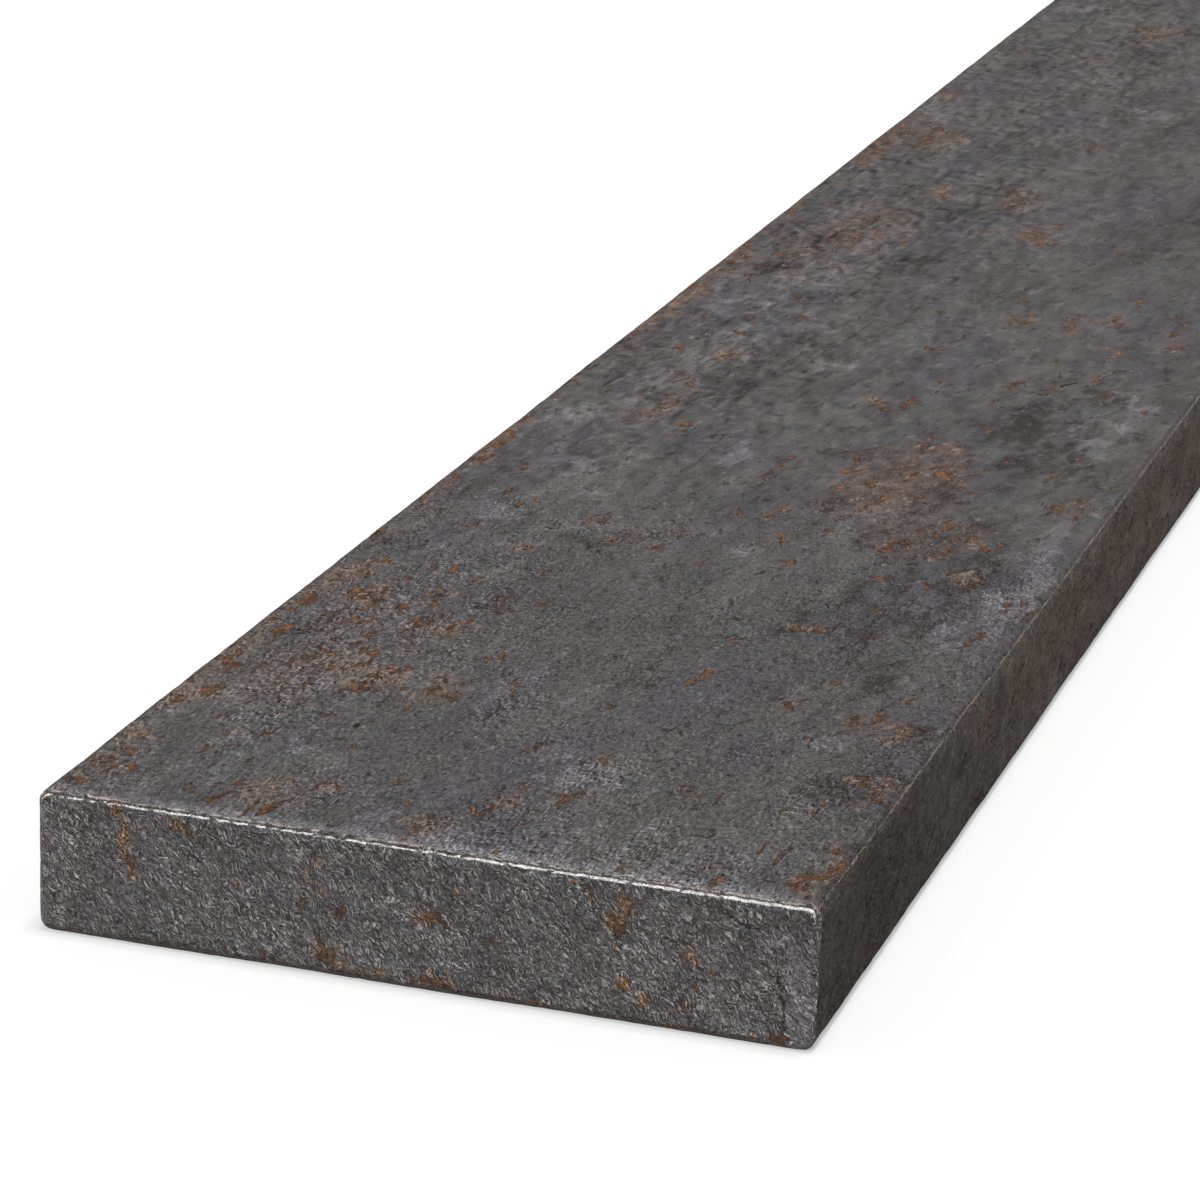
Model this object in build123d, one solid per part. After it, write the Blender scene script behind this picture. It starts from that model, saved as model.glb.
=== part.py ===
from build123d import *
import os

# A cut length of hot-rolled steel flat bar, lying flat on one of its wide faces.
# Sizes are in millimetres. X runs across the width, Y along the length and Z up,
# and the origin is the centre of the face that the bar lies on.
# The section is a preferred size of EN 10058, which allows edge radii of up to
# 1.5 mm at this thickness.

WIDTH = 80.0
THICKNESS = 15.0
LENGTH = 1000.0

# The rolls leave a radius along each of the four long edges.
ROLLED_EDGE_RADIUS = 1.3

# The arris round each cut end is broken by a small bevel, the same on both faces.
CUT_ARRIS_BEVEL = 0.6


def rolled_section():
    """The section across the bar, on the XZ plane and standing on z = 0."""
    outline = RectangleRounded(WIDTH, THICKNESS, ROLLED_EDGE_RADIUS)
    return Plane.XZ * Pos(0, THICKNESS / 2) * outline


def rolled_bar():
    """The section carried along Y to the bar's full length, half each way."""
    return extrude(rolled_section(), amount=LENGTH / 2, both=True)


def cut_to_length(bar):
    """The bar with the arris round both of its cut ends broken."""
    cut_faces = bar.faces().filter_by(Axis.Y)
    return chamfer(cut_faces.edges(), CUT_ARRIS_BEVEL)


flat_bar = cut_to_length(rolled_bar())

os.makedirs("parts", exist_ok=True)
export_step(flat_bar, "parts/flat_bar.step")
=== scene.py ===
import math
import random

import bmesh
import bpy
import numpy as np
from mathutils import Matrix, Vector, noise


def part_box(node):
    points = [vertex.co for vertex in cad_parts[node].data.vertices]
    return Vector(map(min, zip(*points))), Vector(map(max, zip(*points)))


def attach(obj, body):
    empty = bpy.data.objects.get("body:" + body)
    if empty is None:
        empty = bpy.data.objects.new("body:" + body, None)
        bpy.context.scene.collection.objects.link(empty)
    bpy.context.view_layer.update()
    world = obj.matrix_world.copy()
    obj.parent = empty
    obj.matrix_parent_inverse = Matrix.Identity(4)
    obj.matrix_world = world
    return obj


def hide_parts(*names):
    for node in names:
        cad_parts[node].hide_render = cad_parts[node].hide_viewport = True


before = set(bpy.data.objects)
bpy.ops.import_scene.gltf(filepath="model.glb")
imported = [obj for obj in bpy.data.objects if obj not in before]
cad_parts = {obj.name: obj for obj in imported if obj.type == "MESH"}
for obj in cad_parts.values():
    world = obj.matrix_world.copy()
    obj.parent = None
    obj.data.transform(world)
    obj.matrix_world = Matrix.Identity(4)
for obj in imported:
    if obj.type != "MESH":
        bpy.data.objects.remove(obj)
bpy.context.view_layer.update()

# Sizes are in millimetres, in the bar's own frame: X across, Y along and Z up.
MM = 0.001
FAR_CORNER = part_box("flat_bar")[1] / MM
HALF_WIDTH = FAR_CORNER.x
HALF_LENGTH = FAR_CORNER.y
THICKNESS = FAR_CORNER.z
MIDDLE = THICKNESS / 2
EDGE_RADIUS = 1.3                        # along the four long edges
BEVEL = 0.6                              # round each cut end
CORE_X = HALF_WIDTH - EDGE_RADIUS        # where the wide faces meet the rounded edges
CORE_Z = MIDDLE - EDGE_RADIUS            # the same on the narrow faces, from mid height
NEAR_END = -HALF_LENGTH


def srgb(red, green, blue):
    """A colour given as it shows on screen, 0 to 255, as the linear one that shaders use."""
    def linear(level):
        share = level / 255
        return share / 12.92 if share <= 0.04045 else ((share + 0.055) / 1.055) ** 2.4
    return (linear(red), linear(green), linear(blue), 1.0)


# ---- Shader trees ----

# A Mix node keeps its sockets for colours by number.
MIX_SHARE, MIX_FIRST, MIX_SECOND, MIX_RESULT = 0, 6, 7, 2


class Graph:
    """A shader tree, with one short call for each kind of node. Sizes are in millimetres."""

    def __init__(self, tree):
        self.tree = tree
        tree.nodes.clear()

    def add(self, kind, inputs=None, **settings):
        node = self.tree.nodes.new("ShaderNode" + kind)
        for name, value in settings.items():
            setattr(node, name, value)
        for name, value in (inputs or {}).items():
            self.feed(node.inputs[name], value)
        return node

    def feed(self, socket, value):
        if isinstance(value, bpy.types.NodeSocket):
            self.tree.links.new(value, socket)
        else:
            socket.default_value = value

    def maths(self, operation, a, b=0.0):
        return self.add("Math", {0: a, 1: b}, operation=operation).outputs[0]

    def vectors(self, operation, a, b=(0, 0, 0)):
        node = self.add("VectorMath", {0: a, 1: b}, operation=operation)
        return node.outputs["Value" if operation == "LENGTH" else "Vector"]

    def times(self, a, b):
        return self.maths("MULTIPLY", a, b)

    def plus(self, a, b):
        return self.maths("ADD", a, b)

    def less(self, a, b):
        return self.maths("SUBTRACT", a, b)

    def most(self, a, b):
        return self.maths("MAXIMUM", a, b)

    def ramp(self, value, low, high, start=0.0, end=1.0):
        """start at low and below it, end at high and above it, and smooth between them."""
        inputs = {"Value": value, "From Min": low, "From Max": high,
                  "To Min": start, "To Max": end}
        node = self.add("MapRange", inputs, interpolation_type="SMOOTHSTEP")
        return node.outputs["Result"]

    def band(self, value, centre, half):
        """1 where the value is at the centre, falling to 0 at half to either side."""
        away = self.maths("ABSOLUTE", self.less(value, centre))
        return self.ramp(away, 0.0, half, 1.0, 0.0)

    def mix(self, share, first, second):
        node = self.add("Mix", data_type="RGBA")
        self.feed(node.inputs[MIX_SHARE], share)
        self.feed(node.inputs[MIX_FIRST], first)
        self.feed(node.inputs[MIX_SECOND], second)
        return node.outputs[MIX_RESULT]

    def shade(self, colour, level):
        """The colour times a level: 1 leaves it as it is."""
        node = self.add("VectorMath", {0: colour, "Scale": level}, operation="SCALE")
        return node.outputs[0]

    def attribute(self, name):
        return self.add("Attribute", attribute_name=name).outputs["Fac"]

    def attributes(self, *names):
        return [self.attribute(name) for name in names]

    def millimetres(self):
        place = self.add("TexCoord").outputs["Object"]
        return self.add("VectorMath", {0: place, "Scale": 1 / MM}, operation="SCALE").outputs[0]

    def apart(self, vector):
        return self.add("SeparateXYZ", {0: vector}).outputs

    def parts(self, vector, axes):
        outputs = self.apart(vector)
        return [outputs[axis] for axis in axes]

    def joined(self, parts):
        """The vector that has these parts, given by axis."""
        return self.add("CombineXYZ", parts).outputs[0]

    def turned(self, vector, turn, stretch):
        """The vector turned, then divided by the stretch: a pattern grows by that much."""
        turned = self.add("VectorRotate", {"Vector": vector, "Rotation": turn},
                          rotation_type="EULER_XYZ").outputs[0]
        return self.vectors("DIVIDE", turned, stretch)

    def noise_node(self, vector, size, detail, rough, distortion=0.0):
        inputs = {"Vector": vector, "Scale": 1 / size, "Detail": detail, "Roughness": rough,
                  "Distortion": distortion}
        return self.add("TexNoise", inputs)

    def noise(self, *settings):
        return self.noise_node(*settings).outputs["Fac"]

    def noises(self, *settings):
        """Three unlike noises of the same size, as X, Y and Z."""
        return self.apart(self.noise_node(*settings).outputs["Color"])

    def centred(self, noise, gain):
        """A noise as a share above or below nothing, times the gain."""
        return self.times(self.less(noise, 0.5), gain)

    def sway(self, value, *noises):
        """The value raised and lowered by noises, each given with its gain."""
        for noise_value, gain in noises:
            value = self.plus(value, self.centred(noise_value, gain))
        return value

    def total(self, first, *others):
        """The sum of values, each given with its gain."""
        value = self.times(*first)
        for other in others:
            value = self.plus(value, self.times(*other))
        return value

    def finish(self, colour, rough, metal, height, shine):
        """The surface itself. The height is in millimetres."""
        bump = self.add("Bump", {"Height": height, "Distance": MM})
        inputs = {"Base Color": colour, "Roughness": rough, "Metallic": metal,
                  "Specular IOR Level": shine, "Normal": bump.outputs[0]}
        surface = self.add("BsdfPrincipled", inputs)
        self.add("OutputMaterial", {"Surface": surface.outputs[0]})


# ---- Camera, lights and floor ----

CAMERA_FROM_NEAR_END = Vector((133.6, -373.2, 172.2))
CAMERA_TURN = math.radians(17.3)      # to the left of the bar's own direction
CAMERA_TILT = math.radians(18.39)     # down from level
CAMERA_ROLL = math.radians(2.0)
SENSOR = 36.0
FOCAL_LENGTH = 133.2
CLIP_START = 10
CLIP_END = 100000

# Each lamp's name, the direction that it comes from, its strength and how wide it looks.
LAMPS = (
    ("key", Vector((0.06, 0.03, 1.0)), 1.4, math.radians(14)),
    ("front", Vector((0.12, -0.72, 0.7)), 1.25, math.radians(20)))
SKY_STRENGTH = 0.35
FLOOR_SIZE = 30000
FLOOR_BOUNCE = 0.5       # what the floor throws back on the bar
FLOOR_WHITE = 0.99       # the floor's own white, as the camera and reflections see it
FLOOR_GLOW = 0.38        # the share of that white which no shadow reaches
WHITE = (1, 1, 1, 1)


def link(name, data):
    thing = bpy.data.objects.new(name, data)
    bpy.context.scene.collection.objects.link(thing)
    return thing


def add_camera():
    data = bpy.data.cameras.new("camera")
    data.sensor_width = SENSOR
    data.lens = FOCAL_LENGTH
    data.clip_start = CLIP_START * MM
    data.clip_end = CLIP_END * MM
    camera = link("camera", data)
    turn = Matrix.Rotation(CAMERA_TURN, 4, "Z")
    tilt = Matrix.Rotation(math.pi / 2 - CAMERA_TILT, 4, "X")
    roll = Matrix.Rotation(CAMERA_ROLL, 4, "Z")
    place = (Vector((0, NEAR_END, 0)) + CAMERA_FROM_NEAR_END) * MM
    camera.matrix_world = Matrix.Translation(place) @ turn @ tilt @ roll
    bpy.context.scene.camera = camera


def add_lamps():
    for name, direction, strength, width in LAMPS:
        data = bpy.data.lights.new(name, "SUN")
        data.energy = strength
        data.angle = width
        lamp = link(name, data)
        lamp.rotation_mode = "QUATERNION"
        lamp.rotation_quaternion = direction.to_track_quat("Z", "Y")


def seen_directly(graph):
    """1 for what the camera sees, also in a reflection, and 0 for light that scatters."""
    path = graph.add("LightPath").outputs
    seen = graph.most(path["Is Camera Ray"], path["Is Glossy Ray"])
    return graph.most(seen, path["Is Transmission Ray"])


def add_sky():
    world = bpy.data.worlds.new("sky")
    bpy.context.scene.world = world
    world.use_nodes = True
    world.cycles.sampling_method = "NONE"
    graph = Graph(world.node_tree)
    strength = graph.ramp(seen_directly(graph), 0.0, 1.0, SKY_STRENGTH, 1.0)
    sky = graph.add("Background", {"Color": WHITE, "Strength": strength})
    graph.add("OutputWorld", {"Surface": sky.outputs[0]})


def floor_material():
    """White that partly glows where it is seen, so that the bar's shadow stays light."""
    material = bpy.data.materials.new("floor")
    material.use_nodes = True
    material.cycles.emission_sampling = "NONE"
    graph = Graph(material.node_tree)
    seen = seen_directly(graph)
    bounce, white = ((level, level, level, 1) for level in (FLOOR_BOUNCE, FLOOR_WHITE))
    lit = graph.add("BsdfDiffuse", {"Color": graph.mix(seen, bounce, white)})
    glow = graph.add("Emission", {"Color": WHITE, "Strength": 1.0})
    share = graph.times(seen, FLOOR_GLOW)
    surface = graph.add("MixShader", {0: share, 1: lit.outputs[0], 2: glow.outputs[0]})
    graph.add("OutputMaterial", {"Surface": surface.outputs[0]})
    return material


def add_floor():
    half = FLOOR_SIZE / 2 * MM
    corners = [(-half, -half, 0), (half, -half, 0), (half, half, 0), (-half, half, 0)]
    mesh = bpy.data.meshes.new("floor")
    mesh.from_pydata(corners, [], [(0, 1, 2, 3)])
    mesh.materials.append(floor_material())
    link("floor", mesh)


# ---- The smooth bar: rings round the section from end to end, and a grid on each cut end ----

CORNER_SHARE = 0.25          # what a corner takes of each side's 1, where rings are matched
WELD = 1e-4                  # points closer than this are one


class Ring:
    """How many steps a ring takes along each kind of face and round a corner."""

    def __init__(self, top, under, up, corner):
        self.sides = (up, top, up, under)
        self.corner = corner

    def points(self, radius, y):
        """The ring at y, with corners of that radius round the section's core."""
        cores = [(CORE_X, -CORE_Z), (CORE_X, CORE_Z), (-CORE_X, CORE_Z), (-CORE_X, -CORE_Z)]
        found = []
        for side, steps in enumerate(self.sides):
            start = np.array(cores[side])
            run = np.array(cores[(side + 1) % 4]) - start
            for step in range(self.corner):
                turn = (side - 1 + step / self.corner) * math.pi / 2
                found.append(start + radius * np.array((math.cos(turn), math.sin(turn))))
            turn = side * math.pi / 2
            out = radius * np.array((math.cos(turn), math.sin(turn)))
            for step in range(steps):
                found.append(start + run * step / steps + out)
        x, z = np.array(found).T
        return np.column_stack((x, np.full_like(x, y), z + MIDDLE))

    def places(self):
        """How far round the section each point is, from 0 to 4, a whole number a side."""
        found = []
        for side, steps in enumerate(self.sides):
            arc = np.arange(self.corner) / self.corner
            flat = np.arange(steps) / steps
            found.append(side + CORNER_SHARE * arc)
            found.append(side + CORNER_SHARE + (1 - CORNER_SHARE) * flat)
        return np.concatenate(found)


# From each end inwards: how far a zone reaches, how far apart its rings are, and which ring.
NEAR_RIM = Ring(300, 300, 48, 5)
NEAR_ZONES = ((36.0, 0.55, Ring(232, 78, 36, 5)),
              (110.0, 0.9, Ring(116, 39, 18, 4)),
              (260.0, 1.6, Ring(58, 20, 9, 3)))
FAR_RIM = Ring(116, 116, 18, 3)
FAR_ZONES = ((1.5, 0.5, Ring(116, 58, 18, 3)),
             (30.0, 1.5, Ring(58, 20, 9, 3)))
REST = Ring(29, 10, 5, 3)
REST_SPACING = 4.5
BEVEL_STEPS = 4
RIM_STEPS = 3


def end_rows(rim, zones):
    """(ring, radius, distance from the end), from the cut face's middle inwards."""
    inner = EDGE_RADIUS - BEVEL
    body = zones[0][2]
    found = [(rim, 0.0, 0.0)]
    found += [(body, inner * step / RIM_STEPS, 0.0) for step in range(1, RIM_STEPS)]
    for step in range(BEVEL_STEPS):
        share = step / BEVEL_STEPS
        found.append((body, inner + BEVEL * share, BEVEL * share))
    start = BEVEL
    for reach, spacing, ring in zones:
        count = round((reach - start) / spacing)
        gaps = np.linspace(start, reach, count, endpoint=False)
        found += [(ring, EDGE_RADIUS, y) for y in gaps]
        start = reach
    return found


def all_rows():
    """(ring, radius, y) for every ring, from the near end to the far one."""
    near = [(ring, radius, -HALF_LENGTH + y) for ring, radius, y in end_rows(NEAR_RIM, NEAR_ZONES)]
    far = [(ring, radius, HALF_LENGTH - y) for ring, radius, y in end_rows(FAR_RIM, FAR_ZONES)]
    first = -HALF_LENGTH + NEAR_ZONES[-1][0]
    last = HALF_LENGTH - FAR_ZONES[-1][0]
    count = round((last - first) / REST_SPACING)
    rest = [(REST, EDGE_RADIUS, y) for y in np.linspace(first, last, count + 1)]
    return near + rest + far[::-1]


def bridge(a, places_a, b, places_b):
    """Faces between two rings whose points start at a and b."""
    count_a, count_b = len(places_a), len(places_b)
    if count_a == count_b:
        turns = [(i, (i + 1) % count_a) for i in range(count_a)]
        return [(a + i, a + k, b + k, b + i) for i, k in turns]
    ends_a, ends_b = (np.append(places, 4.0)[1:] for places in (places_a, places_b))
    faces = []
    i = j = 0
    while i < count_a or j < count_b:
        here_a, here_b = a + i % count_a, b + j % count_b
        if j == count_b or (i < count_a and ends_a[i] <= ends_b[j]):
            i += 1
            faces.append((here_a, a + i % count_a, here_b))
        else:
            j += 1
            faces.append((here_a, b + j % count_b, here_b))
    return faces


def cap_grid(rim, start, y):
    """Points and faces of the grid inside a rim, its points counted from start."""
    up, across = rim.sides[:2]
    x = np.linspace(-CORE_X, CORE_X, across + 1)
    z = np.linspace(-CORE_Z, CORE_Z, up + 1) + MIDDLE
    grid_x, grid_z = np.meshgrid(x, z)
    points = np.column_stack((grid_x.ravel(), np.full(grid_x.size, y), grid_z.ravel()))
    number = start + np.arange(grid_x.size).reshape(grid_x.shape)
    corners = (number[:-1, :-1], number[:-1, 1:], number[1:, 1:], number[1:, :-1])
    faces = np.stack([corner.ravel() for corner in corners], axis=1).tolist()
    return points, faces


def smooth_bar():
    """The bar as one closed mesh, in millimetres, with no relief yet."""
    points, faces, start = [], [], 0
    before = None
    for ring, radius, y in all_rows():
        here = (start, ring.places())
        if before:
            faces += bridge(*before, *here)
        points.append(ring.points(radius, y))
        start += len(points[-1])
        before = here
    for rim, y in ((NEAR_RIM, -HALF_LENGTH), (FAR_RIM, HALF_LENGTH)):
        grid, quads = cap_grid(rim, start, y)
        points.append(grid)
        faces += quads
        start += len(grid)
    mesh = bpy.data.meshes.new("flat_bar_steel")
    mesh.from_pydata(np.concatenate(points).tolist(), [], faces)
    work = bmesh.new()
    work.from_mesh(mesh)
    bmesh.ops.remove_doubles(work, verts=work.verts, dist=WELD)
    bmesh.ops.recalc_face_normals(work, faces=work.faces)
    work.to_mesh(mesh)
    work.free()
    return mesh


# ---- Relief, always inwards from the smooth bar, and where the scale and the rust lie ----

SEED_STEP = (13.7, 5.1, 9.3)     # one seed's noise lies this far from the next one's
ROUGHNESS, LACUNARITY = 1.0, 2.0


def field(points, size, seed, octaves=3):
    """A noise of about -1 to 1 at each point, with features of about that size."""
    shift = Vector([seed * step for step in SEED_STEP])
    return np.array([noise.fractal(Vector(point) + shift, ROUGHNESS, LACUNARITY, octaves)
                     for point in points / size])


def smooth(value, low, high):
    """0 at low and below it, 1 at high and above it, and smooth between them."""
    share = np.clip((value - low) / (high - low), 0, 1)
    return share * share * (3 - 2 * share)


class Places:
    """How far each point is from the parts of the bar that wear in their own way."""

    def __init__(self, points):
        x, y, z = points.T
        height = np.abs(z - MIDDLE)
        beyond = np.column_stack((np.abs(x) - CORE_X, height - CORE_Z))
        outside = np.hypot(*np.maximum(beyond, 0).T)
        self.rim = EDGE_RADIUS - outside - np.minimum(beyond.max(axis=1), 0)
        self.end = HALF_LENGTH - np.abs(y)
        self.long_edge = (HALF_WIDTH - np.abs(x)) + (MIDDLE - height)
        self.arris = self.end + self.rim


# How deep each kind of relief is, and its noise: size, seed and octaves.
SWELL_DEPTH, SWELL = 0.04, (24, 1, 2)    # long, low unevenness of the rolled faces
SWELL_SWAY = 1.4
FLAKE_DEPTH, FLAKES = 0.03, (5, 2, 5)    # where a flake of scale has come away
FLAKES_AT = (0.02, 0.14)
SKIN_DEPTH, SKIN = 0.03, (1.6, 3, 3)     # small unevenness of the scale
WEAR_DEPTH, WEAR = 0.04, (11, 4, 3)
WEAR_LEAST = 0.5
NICK_DEPTH, NICKS = 0.05, (2.6, 5, 3)
NICKS_AT = (0.22, 0.6)
CHIP_DEPTH, CHIPS = 0.16, (1.3, 6, 3)
CHIPS_AT = (0.18, 0.6)
CUT_DEPTH, CUT_SWELL = 0.05, (5, 7, 3)
CUT_LEAST = 0.9
CLUMP_DEPTH, CLUMPS = 0.06, (1.0, 8, 3)
CLUMP_SHAPE = (0.5, 1, 1.6)              # across the strokes, into the bar and along them
CRACK_DEPTH = 0.08
CUT_LEAN = math.radians(33)  # the strokes on a cut face lean this much from upright
# How far from its own edge each kind of wear starts to fade, and where it ends.
LONG_EDGE_REACH = (0.8, 2.8)
ARRIS_REACH = (0.7, 2.0)
CUT_FROM_RIM = (0.5, 1.3)
CLUMPS_FROM_RIM = (0.8, 1.6)
# How high up the bar the nicks and chips start, and where they are at their full depth.
NICKS_UP = (0.2, THICKNESS)
CHIPS_UP = (-0.3 * THICKNESS, THICKNESS)


def rolled_relief(points):
    swell = SWELL_DEPTH * (1 + SWELL_SWAY * field(points, *SWELL))
    flaked = FLAKE_DEPTH * smooth(field(points, *FLAKES), *FLAKES_AT)
    return swell + flaked + SKIN_DEPTH * field(points, *SKIN)


def edge_relief(points, places):
    near = 1 - smooth(places.long_edge, *LONG_EDGE_REACH)
    wear = WEAR_DEPTH * (WEAR_LEAST + field(points, *WEAR))
    nicks = NICK_DEPTH * smooth(field(points, *NICKS), *NICKS_AT)
    return near * (wear + nicks * smooth(points[:, 2], *NICKS_UP))


def arris_relief(points, places):
    """Chips out of the upper arris of each cut end, and fewer out of the lower one."""
    near = 1 - smooth(places.arris, *ARRIS_REACH)
    chips = CHIP_DEPTH * smooth(field(points, *CHIPS), *CHIPS_AT)
    return near * chips * smooth(points[:, 2], *CHIPS_UP)


def cracked(points):
    """How much of each point lies in a crack of the near cut face, 0 to 1."""
    waver = np.column_stack([field(points, CRACK_WAVER_SIZE, seed) for seed in CRACK_SEEDS])
    place = points[:, [0, 2]] + CRACK_WAVER * waver
    found = np.zeros(len(points))
    for crack in CRACKS:
        start, reach = np.array(crack[:2]), np.subtract(crack[2:], crack[:2])
        share = np.clip((place - start) @ reach / (reach @ reach), 0, 1)
        away = np.linalg.norm(place - start - share[:, None] * reach, axis=1)
        found = np.maximum(found, 1 - smooth(away, CRACK_HALF, 3 * CRACK_HALF))
    return found * (points[:, 1] < NEAR_END + CRACKS_REACH)


def cut_relief(points, places):
    swell = CUT_DEPTH * (CUT_LEAST + field(points, *CUT_SWELL)) + CRACK_DEPTH * cracked(points)
    slant = Matrix.Rotation(CUT_LEAN, 3, "Y")
    leaning = points @ np.array(slant).T / CLUMP_SHAPE
    clumps = CLUMP_DEPTH * field(leaning, *CLUMPS)
    return swell + clumps * smooth(places.rim, *CLUMPS_FROM_RIM)


def relief(points):
    """How far each point of the smooth bar moves inwards."""
    places = Places(points)
    cut = smooth(places.rim, *CUT_FROM_RIM)
    depth = (1 - cut) * rolled_relief(points) + cut * cut_relief(points, places)
    return np.maximum(depth + edge_relief(points, places) + arris_relief(points, places), 0)


# Each patch on the top is its place across and along from the near end, its half sizes
# that way, and how strong it is. They were placed one by one.
PALE_PATCHES = (
    (-28, 106, 3, 9, 0.9), (-26, 129, 4, 5, 1.0), (-9, 141, 2.5, 5, 1.0), (-34, 148, 3, 7, 0.7),
    (-38, 134, 1.5, 9, 0.6), (9, 24, 6, 6, 0.6), (20, 8, 12, 7, 0.5), (-32, 8, 6, 8, 0.5),
    (3, 105, 2, 6, 0.5), (36, 102, 2.5, 34, 1.0), (31, 80, 3, 5, 0.6), (31, 163, 3, 5, 1.0),
    (32, 180, 4, 10, 0.7), (28, 44, 3, 3, 0.7), (-5, 52, 4, 10, 0.4), (-19, 24, 3, 6, 0.4),
    (-30, 172, 5, 8, 0.7), (-27, 196, 4, 5, 0.9), (-27, 211, 4, 5, 1.0), (-12, 187, 6, 6, 0.6),
    (-21, 232, 5, 12, 0.7), (-30, 186, 4, 5, 0.6), (-2, 210, 3, 10, 0.4), (24, 205, 1.5, 3, 0.7),
    (-26, 190, 10, 110, 0.35), (-27, 55, 10, 38, 0.5), (-33, 300, 4, 12, 0.5), (-6, 296, 2, 6, 0.5),
    # The last two patches, along the near arris, are a painted sheen.
    (-12, 11, 22, 9, 0.3), (0, 1.2, 44, 2.2, 0.6), (20, 1.5, 24, 2.5, 0.6))
RUST_PATCHES = (
    (-27, 60, 11, 40, 0.3), (-29, 250, 10, 50, 0.3), (-38.5, 40, 2, 45, 0.6),
    (-38.5, 130, 2, 45, 0.7), (-38.5, 230, 2.5, 60, 0.8), (-38, 320, 3, 30, 0.8),
    (-37, 75, 3, 8, 0.9), (-31, 71, 3, 4, 0.8), (-36.5, 32, 2.5, 5, 0.9), (-37, 10, 2.5, 7, 0.7),
    (-20, 9, 4, 7, 0.55), (-13, 12, 3, 3, 0.6), (-28, 45, 9, 13, 0.5), (-25, 46, 3, 3, 0.8),
    (-21, 45, 3, 3, 0.8), (-13, 45, 3, 6, 0.6), (-28, 64, 8, 8, 0.45), (-19, 62, 5, 4, 0.6),
    (-2, 4, 3, 3, 0.6), (4, 14, 3, 4, 0.5), (38.3, 8, 1.5, 9, 0.8), (37, 33, 2, 5, 0.6),
    (33, 50, 3, 5, 0.6), (11, 58, 1, 1.5, 0.9), (17.5, 78, 1.2, 1.5, 0.9), (22, 53, 1.2, 2, 0.8),
    (2.3, 117, 1.8, 2.5, 0.9), (2.5, 122, 1, 1.5, 0.9), (11, 126, 2, 3, 0.8), (15, 128, 3, 4, 0.7),
    (14, 153, 3, 3.5, 1.0), (18, 143, 1.5, 1.5, 0.9), (12, 147, 1.5, 2, 0.7), (28, 117, 2, 3, 0.9),
    (29, 103, 1.4, 3, 0.7), (34, 135, 2.5, 5, 0.6), (22, 115, 8, 14, 0.4), (13, 136, 9, 17, 0.62),
    (-23, 92, 2, 2, 0.7), (-24, 155, 4, 8, 0.5), (-23, 186, 2, 3, 0.8), (0, 170, 1.5, 3, 0.8),
    (-25, 262, 9, 18, 0.5), (-30, 247, 4, 6, 0.7), (-19, 293, 1.8, 3, 0.9), (0, 272, 3, 7, 1.0),
    (-8, 269, 2, 4, 0.7), (-7, 293, 3, 12, 0.5), (-30, 333, 5, 9, 0.8), (-6, 337, 2, 4, 0.9),
    (9, 221, 2, 3, 0.7), (18, 218, 2, 3, 0.8), (24, 209, 2, 3, 0.9), (20, 225, 4, 2.5, 0.6),
    (32, 217, 3, 5, 0.6), (16, 266, 2, 3, 0.8), (25, 190, 6, 12, 0.3))
DARK_PATCHES = (
    (-32, 55, 6, 7, 0.7), (-17, 98, 3, 3, 1.0), (-18, 168, 6, 12, 0.7), (28, 66, 6, 10, 0.7),
    (37, 50, 3.5, 6, 1.0), (21, 82, 6, 12, 0.6), (17, 112, 5, 10, 0.6), (13, 141, 4, 8, 0.7),
    (31, 148, 4, 12, 0.7), (3, 52, 5, 8, 0.4), (-37, 90, 3, 5, 0.6), (-16, 195, 4, 6, 0.7),
    (-31, 235, 3.5, 5, 1.0), (-12, 246, 4, 9, 0.8), (-31, 283, 2.5, 4, 0.9), (-22, 284, 4, 7, 0.5),
    (-8, 292, 3, 10, 0.7), (22, 170, 8, 14, 0.4), (24, 95, 11, 52, 0.7), (14, 138, 12, 22, 0.85),
    (25, 170, 9, 30, 0.75), (36, 34, 4, 14, 0.9), (0, 190, 12, 60, 0.2), (24, 315, 12, 42, 0.4),
    (34, 200, 4, 8, 0.3), (-16, 38, 3, 4, 0.5))
# On the right narrow face, painted shade, darkest near the near end: along and up, half sizes,
# strength.
SIDE_SHADES = ((20, 7.5, 45, 12, 1.0), (55, 4, 40, 6, 0.5), (75, 11, 3, 4, 0.8))
# The stains on the near cut face are placed across and up instead.
RUST_STAINS = (
    (-31.4, 14.3, 0.6, 0.9, 1.0), (-30.6, 10.6, 0.9, 2.4, 0.9), (-29.6, 8.0, 0.7, 1.2, 1.0),
    (-25, 13.5, 2, 1, 0.5), (2, 1.0, 3.0, 0.5, 0.8), (-14, 0.7, 2.0, 0.4, 0.8),
    (27, 0.6, 2.0, 0.4, 0.9), (36, 0.8, 1.2, 0.6, 1.0), (12, 0.6, 2.0, 0.4, 0.7),
    (20.6, 12.2, 1.2, 1.4, 0.9), (20.2, 10, 1.2, 1.2, 0.9), (1.6, 7.2, 1.6, 0.8, 0.9),
    (4.5, 9.8, 0.5, 1.6, 0.6), (21.2, 4.4, 1.0, 1.2, 0.7), (23.6, 3.0, 0.7, 0.6, 1.0),
    (-10, 8.5, 1.2, 4.0, 0.35), (-9, 2.5, 2, 1.5, 0.5), (29.5, 6.6, 0.5, 0.5, 0.9),
    (27, 8.0, 1.2, 1.2, 0.5), (-4, 1.2, 1.5, 0.8, 0.6))
# Where the near cut face is lighter, placed in the same way: rubbed smooth, and along its right
# edge a painted sheen.
PALE_RUBS_AND_SHEEN = ((38.6, 5.5, 1.5, 5.5, 0.65), (36.2, 11.4, 1.8, 1.3, 0.6), (38.4, 0.7, 1.4, 0.8, 1.0),
             (34, 2.2, 2.5, 1.6, 0.35), (-37.8, 5, 1.8, 4.5, 0.35))
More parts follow.
